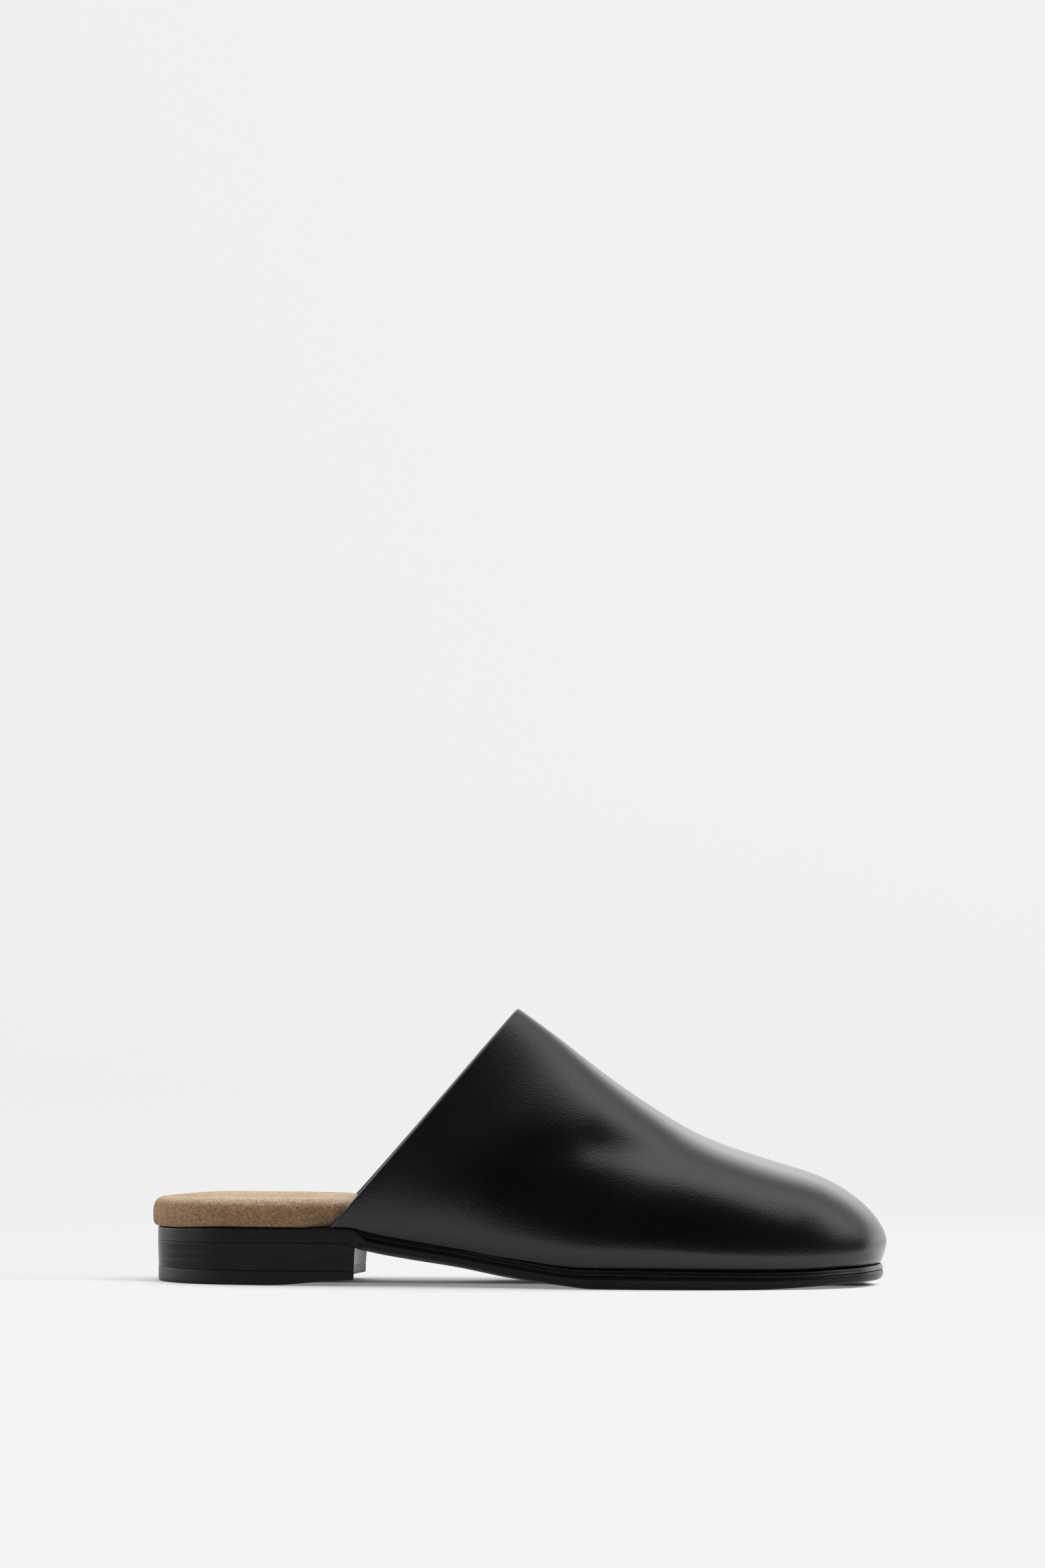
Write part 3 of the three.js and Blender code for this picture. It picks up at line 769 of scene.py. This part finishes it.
def heel_plan(p, q, inwards):
    """(x, y) of the heel's plan for a point of the unit square, p = 1 at the breast."""
    middle_row = 2.4
    front_row = row_at(heel_length / sole_length)
    if p < 0:
        u = p * math.sqrt(1 - q * q / 2)
        v = q * math.sqrt(1 - p * p / 2)
        row = 2 * middle_row * (1 - math.acos(u) / math.pi)
        chord = math.sqrt(max(1 - u * u, 0))
        width = min(max(v / chord, -1), 1) if chord > 1e-6 else 0
    else:
        row = middle_row + (front_row - middle_row) * p
        width = q
    x, y = across_plan(row, width, lambda s: inwards)
    if p > 0:
        w = min(max(y / heel_half, -1), 1)
        breast = breast_skew * (w + 1) / 2 - breast_hollow * (1 - w * w)
        x += (breast - inwards) * p**2
    return x, y


def heel_layer(side, low, high):
    """A layer of the heel. side holds (inwards, height) and low and high are its faces."""
    mesh = slab(heel_along, heel_across, len(side) - 1)
    for vert in mesh.verts:
        p, q, ring = vert.co
        inwards, height = side[int(ring)]
        x, y = heel_plan(p, q, inwards)
        s = share(x)
        vert.co = in_frame(x, y, low(s) + height * (high(s) - low(s)))
    return mesh


def grooved_side(lifts, taper, groove):
    """The side of a stack: square edges, and a fine groove between each two lifts. Its faces
    are a little hollow inside, so that it closes tight at the edge."""
    side = [(taper + 0.9, 0.015), (taper + 0.02, 0), (taper, 0.008)]
    for k in range(lifts):
        low, high = k / lifts, (k + 1) / lifts
        side += [(taper * (1 - low), low + 0.06), (taper * (1 - (low + high) / 2), (low + high) / 2),
                 (taper * (1 - high), high - 0.06)]
        if k < lifts - 1:
            side.append((taper * (1 - high) + groove, high))
    return side + [(0, 0.997), (0.01, 1), (0.9, 0.985)]


block = heel_layer(grooved_side(lift_count, heel_taper, lift_groove),
                   lambda s: top_piece_thick + joint,
                   lambda s: underside(s) - joint)
heel = make_piece("stacked_heel", block)
lifts = Finish("dyed_heel_stack", Specular_IOR_Level=0.12)
layers = lifts.noise(1.0, 5, 0.65, lifts.stretched(38, 38, 1300))
scratch = lifts.noise(1.0, 3, 0.6, lifts.stretched(110, 110, 2600))
scuff = lifts.noise(1.0, 4, 0.8, lifts.stretched(700, 700, 2200)).between(0.3, 0.7)
lifts.feed("Base Color", lifts.mix(layers * 0.4 + scuff * 0.6, (0.0004, 0.0004, 0.0004, 1),
                                   (0.0098, 0.0098, 0.0094, 1)))
lifts.feed("Roughness", 0.15 + scratch * 0.10)
lifts.relief(layers * 0.9 + scratch * 0.5, 0.00004)
heel.data.materials.append(lifts.material)
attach(heel, "root")
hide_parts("heel")


# Top piece. The rubber lift that the heel stands on, its lower edge slightly rounded and
# lifting a little towards the breast.
lift_side = [(1.9, 0.0), (1.0, 0.0), (0.65, 0.025), (0.42, 0.08), (0.32, 0.17), (0.30, 0.5),
             (0.30, 0.992), (0.31, 1.0), (1.2, 1.0)]
lift = heel_layer(lift_side, tread_rise, lambda s: top_piece_thick)
top_piece = make_piece("rubber_top_piece", lift)
rubber = Finish("black_rubber", Specular_IOR_Level=0.15)
dust = rubber.noise(0.004, 4, 0.6)
rubber.feed("Base Color", rubber.mix(dust, (0.0050, 0.0050, 0.0050, 1), (0.0095, 0.0092, 0.0090, 1)))
rubber.feed("Roughness", 0.28 + dust * 0.12)
rubber.relief(rubber.noise(0.0005, 3, 0.6) + dust * 0.4, 0.00004)
top_piece.data.materials.append(rubber.material)
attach(top_piece, "root")
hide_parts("top_piece")


# Floor. A white studio table that fades into the pale background. Its camera's side glows
# as painted light, which lightens the contact shadows in front of the shoe.
floor_reach = 2.6
ground = bmesh.new()
bmesh.ops.create_circle(ground, cap_ends=True, radius=floor_reach, segments=96)
floor = make_piece("studio_floor", ground, levels=0)
paper = Finish("white_table", Roughness=0.85, Specular_IOR_Level=0.2, Emission_Strength=1.0,
               Base_Color=(0.60, 0.60, 0.602, 1))
distance = paper.node("ShaderNodeVectorMath", dict(operation="LENGTH"), {0: paper.place}, "Value")
paper.feed("Alpha", 1 - distance.between(0.9, 2.3))
# Painted light: the table glows on the camera's side, ending under the shoe
painted_front_glow = 1 - paper.axis("Y").between(-0.016, 0.002)
paper.feed("Emission Color", paper.mix(painted_front_glow, (0, 0, 0, 1), (0.24, 0.24, 0.24, 1)))
floor.data.materials.append(paper.material)


# Light. A bright ceiling and a bright wall behind the shoe, a dark studio on the camera's
# side, and a soft lamp low on the right of the toe.
scene = bpy.context.scene
scene.view_settings.view_transform = "Standard"
scene.view_settings.use_curve_mapping = True
paper_white = 0.905
tone_curve = scene.view_settings.curve_mapping
tone_curve.extend = "HORIZONTAL"
tone_curve.curves[3].points.new(paper_white - 0.05, paper_white - 0.05)
tone_curve.curves[3].points[2].location = (1.0, paper_white)
for point in tone_curve.curves[3].points:
    point.handle_type = "VECTOR"
tone_curve.update()
studio = bpy.data.worlds.new("studio")
scene.world = studio
studio.use_nodes = True
air = studio.node_tree
for node in list(air.nodes):
    air.nodes.remove(node)


class Sky(Finish):
    """The studio's surroundings, by direction."""

    def __init__(self, tree):
        self.tree = tree
        self.place = self.node("ShaderNodeTexCoord", {}, {}, "Generated")


sky = Sky(air)
up, depth, side = sky.axis("Z"), sky.axis("Y"), sky.axis("X")
dip = depth.between(-0.05, 0.25) * (1 - depth.between(0.4, 0.7)) * 1.3
overhead = depth.between(-0.48, -0.14) * (2.4 - dip) * up.between(0.18, 0.5)
walls = depth.between(0.0, 0.5) * (1 - up.between(0.18, 0.5)) * (1.1 + side.between(0.3, 1.0) * 0.9)
left_wall = (0 - side).between(0.55, 0.98) * (1 - up.between(0.10, 0.45)) * 3.4
table = (1 - depth.between(-0.6, -0.2)) * (1 - up.between(0.02, 0.20)) * 0.42
glow = overhead + walls + left_wall + table + 0.007
seen = sky.node("ShaderNodeLightPath", {}, {}, "Is Camera Ray")
below = up.maths("MAXIMUM", up.maths("MINIMUM", up, 0.0), -0.06)
backdrop = 0.885 + side.between(-0.2, 0.2) * 0.08 + up.maths("MINIMUM", up, 0.3) * 0.15 + below * 0.9
level = seen * backdrop + (1 - seen) * glow * 1.08
shine = sky.node("ShaderNodeBackground", {}, {"Strength": level, "Color": (1, 1, 1, 1)})
output = air.nodes.new("ShaderNodeOutputWorld")
air.links.new(shine.socket, output.inputs["Surface"])

lamp_data = bpy.data.lights.new("side_lamp", "AREA")
lamp_data.energy = 1.3
lamp_data.size = 0.16
lamp = bpy.data.objects.new("side_lamp", lamp_data)
lamp.location = (0.36, 0.03, 0.17)
lamp.rotation_euler = (0, math.radians(45), 0)
lamp.visible_glossy = False
lamp.visible_camera = False
scene.collection.objects.link(lamp)


# Camera. Level, far off on the lateral side and rolled a little, as the photograph shows
camera_distance = 3.212
camera_height = 0.178
camera_side = -0.00027
focal_length = 206.6
roll = math.radians(0.4)
camera_data = bpy.data.cameras.new("camera")
camera_data.lens = focal_length
camera_data.sensor_width = 36
camera = bpy.data.objects.new("camera", camera_data)
camera.location = (camera_side, -camera_distance, camera_height)
camera.rotation_euler = (math.pi / 2, -roll, 0)
scene.collection.objects.link(camera)
scene.camera = camera
